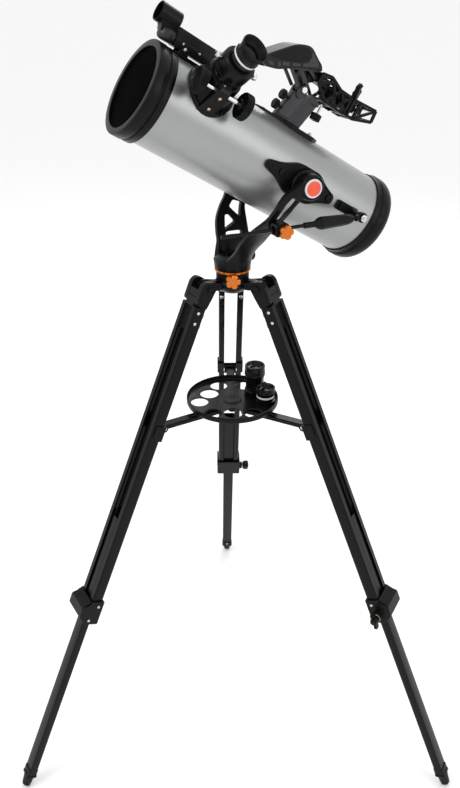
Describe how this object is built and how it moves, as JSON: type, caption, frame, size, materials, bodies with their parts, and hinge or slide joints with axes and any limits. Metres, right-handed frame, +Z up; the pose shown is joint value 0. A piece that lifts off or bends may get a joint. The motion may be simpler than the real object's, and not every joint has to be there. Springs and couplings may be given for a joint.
{
  "type": "newtonian reflector telescope",
  "caption": "Newtonian reflector telescope on an alt-azimuth yoke and a folding tripod, with a red-dot finder, a phone holder and an eyepiece tray.",
  "frame": {"origin": "on the floor, centre of the rectangle that the whole object covers", "axes": "+Z up, +Y towards the rear leg, +X to the viewer's right when the rear leg is behind"},
  "size_m": [0.8596, 0.7484, 1.4278],
  "materials": {
    "silver_paint": "satin metallic",
    "orange_plastic": "satin",
    "mirror": "polished",
    "steel": "turned",
    "chrome": "bright",
    "black_steel": "satin",
    "black_casting": "fine texture",
    "black_paint": "satin",
    "black_plastic": "fine texture",
    "gloss_black": "gloss",
    "rubber": "matt"
  },
  "bodies": {
    "head": {"hub_casting": "black_casting", "azimuth_ring": "orange_plastic", "azimuth_spindle": "steel", "leg_hinge_bolts": "black_steel"},
    "azimuth_lock": {"azimuth_lock_knob": "orange_plastic"},
    "leg_rear": {"leg_rails_rear": "black_paint", "leg_top_fitting_rear": "black_plastic", "leg_clamp_rear": "black_plastic", "spreader_bracket_rear": "black_plastic"},
    "slider_rear": {"leg_slider_rear": "black_paint"},
    "leg_knob_rear": {"leg_knob_rear": "black_plastic"},
    "arm_rear": {"spreader_arm_rear": "black_steel"},
    "leg_left": {"leg_rails_left": "black_paint", "leg_top_fitting_left": "black_plastic", "leg_clamp_left": "black_plastic", "spreader_bracket_left": "black_plastic"},
    "slider_left": {"leg_slider_left": "black_paint"},
    "leg_knob_left": {"leg_knob_left": "black_plastic"},
    "arm_left": {"spreader_arm_left": "black_steel"},
    "leg_right": {"leg_rails_right": "black_paint", "leg_top_fitting_right": "black_plastic", "leg_clamp_right": "black_plastic", "spreader_bracket_right": "black_plastic"},
    "slider_right": {"leg_slider_right": "black_paint"},
    "leg_knob_right": {"leg_knob_right": "black_plastic"},
    "arm_right": {"spreader_arm_right": "black_steel"},
    "tray": {"spreader_hub": "black_plastic", "accessory_tray": "black_plastic"},
    "spare_tall": {"spare_eyepiece_tall": "gloss_black"},
    "spare_short": {"spare_eyepiece_short": "gloss_black"},
    "yoke": {"yoke": "black_casting", "altitude_pivots": "orange_plastic"},
    "rod_clamp": {"rod_clamp": "black_plastic"},
    "rod_knob": {"rod_clamp_knob": "orange_plastic"},
    "rod": {"altitude_rod": "black_steel"},
    "grip": {"altitude_grip": "rubber"},
    "tube": {"tube_shell": "silver_paint", "front_ring": "black_plastic", "rear_ring": "black_plastic", "altitude_plates": "black_plastic", "rod_bracket": "black_plastic", "spider": "black_steel", "secondary_mirror": "mirror", "collimation_screws": "steel", "focuser_body": "black_plastic", "finder_bracket": "black_plastic", "dock_base": "black_plastic"},
    "mirror_cell": {"primary_mirror": "mirror", "mirror_cell": "black_casting"},
    "focuser": {"drawtube": "chrome", "eyepiece_screws": "steel"},
    "focus_knobs": {"focus_knobs": "black_plastic"},
    "eyepiece": {"eyepiece": "gloss_black"},
    "finder": {"finder_body": "black_plastic"},
    "dock_head": {"dock_head": "black_plastic", "phone_cradle": "black_plastic"},
    "phone_jaw": {"phone_jaw": "black_plastic"},
    "dock_side_knob": {"dock_side_knob": "black_plastic"},
    "dock_knob_upper": {"dock_knob_upper": "black_plastic"},
    "dock_knob_lower": {"dock_knob_lower": "black_plastic"}
  },
  "joints": [
    {"name": "azimuth_turn", "type": "hinge", "parent": "head", "child": "yoke", "pos_m": [0, -0.12102, 1.0098], "axis": [0, 0, 1], "continuous": true},
    {"name": "azimuth_lock_turn", "type": "hinge", "parent": "head", "child": "azimuth_lock", "pos_m": [0, -0.15302, 0.997], "axis": [0, -1, 0], "range_deg": [-90, 90]},
    {"name": "leg_fold_rear", "type": "hinge", "parent": "head", "child": "leg_rear", "pos_m": [0, -0.06502, 0.986], "axis": [-1, 0, 0], "range_deg": [0, 5]},
    {"name": "leg_extend_rear", "type": "slide", "parent": "leg_rear", "child": "slider_rear", "axis": [0, -0.3953, 0.9185], "range_m": [-0.06, 0.35]},
    {"name": "leg_knob_turn_rear", "type": "hinge", "parent": "leg_rear", "child": "leg_knob_rear", "pos_m": [0.032, 0.19878, 0.3908], "axis": [1, 0, 0], "range_deg": [-90, 90]},
    {"name": "arm_swing_rear", "type": "hinge", "parent": "leg_rear", "child": "arm_rear", "pos_m": [0, 0.02564, 0.73869], "axis": [-1, 0, 0], "range_deg": [0, 31.45]},
    {"name": "leg_fold_left", "type": "hinge", "parent": "head", "child": "leg_left", "pos_m": [-0.0485, -0.14902, 0.986], "axis": [0.5, -0.866, 0], "range_deg": [0, 5]},
    {"name": "leg_extend_left", "type": "slide", "parent": "leg_left", "child": "slider_left", "axis": [0.3424, 0.1977, 0.9185], "range_m": [-0.06, 0.35]},
    {"name": "leg_knob_turn_left", "type": "hinge", "parent": "leg_left", "child": "leg_knob_left", "pos_m": [-0.29295, -0.2532, 0.3908], "axis": [-0.5, 0.866, 0], "range_deg": [-90, 90]},
    {"name": "arm_swing_left", "type": "hinge", "parent": "leg_left", "child": "arm_left", "pos_m": [-0.12701, -0.19435, 0.73869], "axis": [0.5, -0.866, 0], "range_deg": [0, 31.45]},
    {"name": "leg_fold_right", "type": "hinge", "parent": "head", "child": "leg_right", "pos_m": [0.0485, -0.14902, 0.986], "axis": [0.5, 0.866, 0], "range_deg": [0, 5]},
    {"name": "leg_extend_right", "type": "slide", "parent": "leg_right", "child": "slider_right", "axis": [-0.3424, 0.1977, 0.9185], "range_m": [-0.06, 0.35]},
    {"name": "leg_knob_turn_right", "type": "hinge", "parent": "leg_right", "child": "leg_knob_right", "pos_m": [0.26095, -0.30863, 0.3908], "axis": [-0.5, -0.866, 0], "range_deg": [-90, 90]},
    {"name": "arm_swing_right", "type": "hinge", "parent": "leg_right", "child": "arm_right", "pos_m": [0.12701, -0.19435, 0.73869], "axis": [0.5, 0.866, 0], "range_deg": [0, 31.45]},
    {"name": "tray_rise", "type": "slide", "parent": "head", "child": "tray", "axis": [0, 0, 1], "range_m": [0, 0.0639]},
    {"name": "spare_tall_lift", "type": "slide", "parent": "tray", "child": "spare_tall", "axis": [0, 0, 1], "range_m": [0, 0.04]},
    {"name": "spare_short_lift", "type": "slide", "parent": "tray", "child": "spare_short", "axis": [0, 0, 1], "range_m": [0, 0.04]},
    {"name": "altitude_tilt", "type": "hinge", "parent": "yoke", "child": "tube", "pos_m": [0.08297, -0.08614, 1.1584], "axis": [-0.3875, 0.9219, 0], "range_deg": [-28, 25]},
    {"name": "rod_swing", "type": "hinge", "parent": "tube", "child": "rod", "pos_m": [0.20808, -0.14636, 1.101], "axis": [-0.3875, 0.9219, 0], "range_deg": [-12, 12]},
    {"name": "clamp_swivel", "type": "hinge", "parent": "yoke", "child": "rod_clamp", "pos_m": [0.07165, -0.20372, 1.101], "axis": [-0.3875, 0.9219, 0], "range_deg": [-20, 20]},
    {"name": "rod_knob_turn", "type": "hinge", "parent": "rod_clamp", "child": "rod_knob", "pos_m": [0.07901, -0.21092, 1.099], "axis": [0.3875, -0.9219, 0], "range_deg": [-90, 90]},
    {"name": "grip_turn", "type": "hinge", "parent": "rod", "child": "grip", "pos_m": [0.16014, -0.16651, 1.101], "axis": [0.9219, 0.3875, 0], "continuous": true},
    {"name": "focus_travel", "type": "slide", "parent": "tube", "child": "focuser", "axis": [0.6156, -0.5083, 0.6023], "range_m": [0, 0.04]},
    {"name": "focus_knob_turn", "type": "hinge", "parent": "tube", "child": "focus_knobs", "pos_m": [-0.01842, -0.22794, 1.3084], "axis": [0.7852, 0.3301, -0.524], "range_deg": [0, 315]},
    {"name": "eyepiece_draw", "type": "slide", "parent": "focuser", "child": "eyepiece", "axis": [0.6156, -0.5083, 0.6023], "range_m": [0, 0.03]},
    {"name": "finder_tilt", "type": "hinge", "parent": "tube", "child": "finder", "pos_m": [-0.07607, -0.153, 1.36081], "axis": [-0.3875, 0.9219, 0], "range_deg": [-2, 2]},
    {"name": "mirror_tilt", "type": "hinge", "parent": "tube", "child": "mirror_cell", "pos_m": [0.20702, -0.03399, 1.07561], "axis": [-0.3875, 0.9219, 0], "range_deg": [-1, 1]},
    {"name": "dock_tilt", "type": "hinge", "parent": "tube", "child": "dock_head", "pos_m": [0.10741, -0.07587, 1.2912], "axis": [-0.3875, 0.9219, 0], "range_deg": [-4, 4]},
    {"name": "jaw_slide", "type": "slide", "parent": "dock_head", "child": "phone_jaw", "axis": [0.7852, 0.3301, -0.524], "range_m": [0, 0.025]},
    {"name": "dock_side_knob_turn", "type": "hinge", "parent": "dock_head", "child": "dock_side_knob", "pos_m": [0.13634, -0.0637, 1.24488], "axis": [0.483, 0.2031, 0.8517], "range_deg": [-90, 90]},
    {"name": "dock_knob_upper_turn", "type": "hinge", "parent": "tube", "child": "dock_knob_upper", "pos_m": [0.08624, -0.09127, 1.28222], "axis": [0.7852, 0.3301, -0.524], "range_deg": [-90, 90]},
    {"name": "dock_knob_lower_turn", "type": "hinge", "parent": "tube", "child": "dock_knob_lower", "pos_m": [0.07441, -0.09625, 1.26898], "axis": [0.7852, 0.3301, -0.524], "range_deg": [-90, 90]}
  ],
  "couplings": [
    {"joint": "arm_swing_rear", "follows": "leg_fold_rear", "ratio": 6.1899},
    {"joint": "leg_fold_left", "follows": "leg_fold_rear", "ratio": 1},
    {"joint": "arm_swing_left", "follows": "leg_fold_rear", "ratio": 6.1899},
    {"joint": "leg_fold_right", "follows": "leg_fold_rear", "ratio": 1},
    {"joint": "arm_swing_right", "follows": "leg_fold_rear", "ratio": 6.1899},
    {"joint": "tray_rise", "follows": "leg_fold_rear", "m_per_rad": 0.72108},
    {"joint": "rod_swing", "follows": "altitude_tilt", "ratio": -0.38},
    {"joint": "clamp_swivel", "follows": "altitude_tilt", "ratio": 0.62},
    {"joint": "focus_knob_turn", "follows": "focus_travel", "rad_per_m": 136.99}
  ]
}
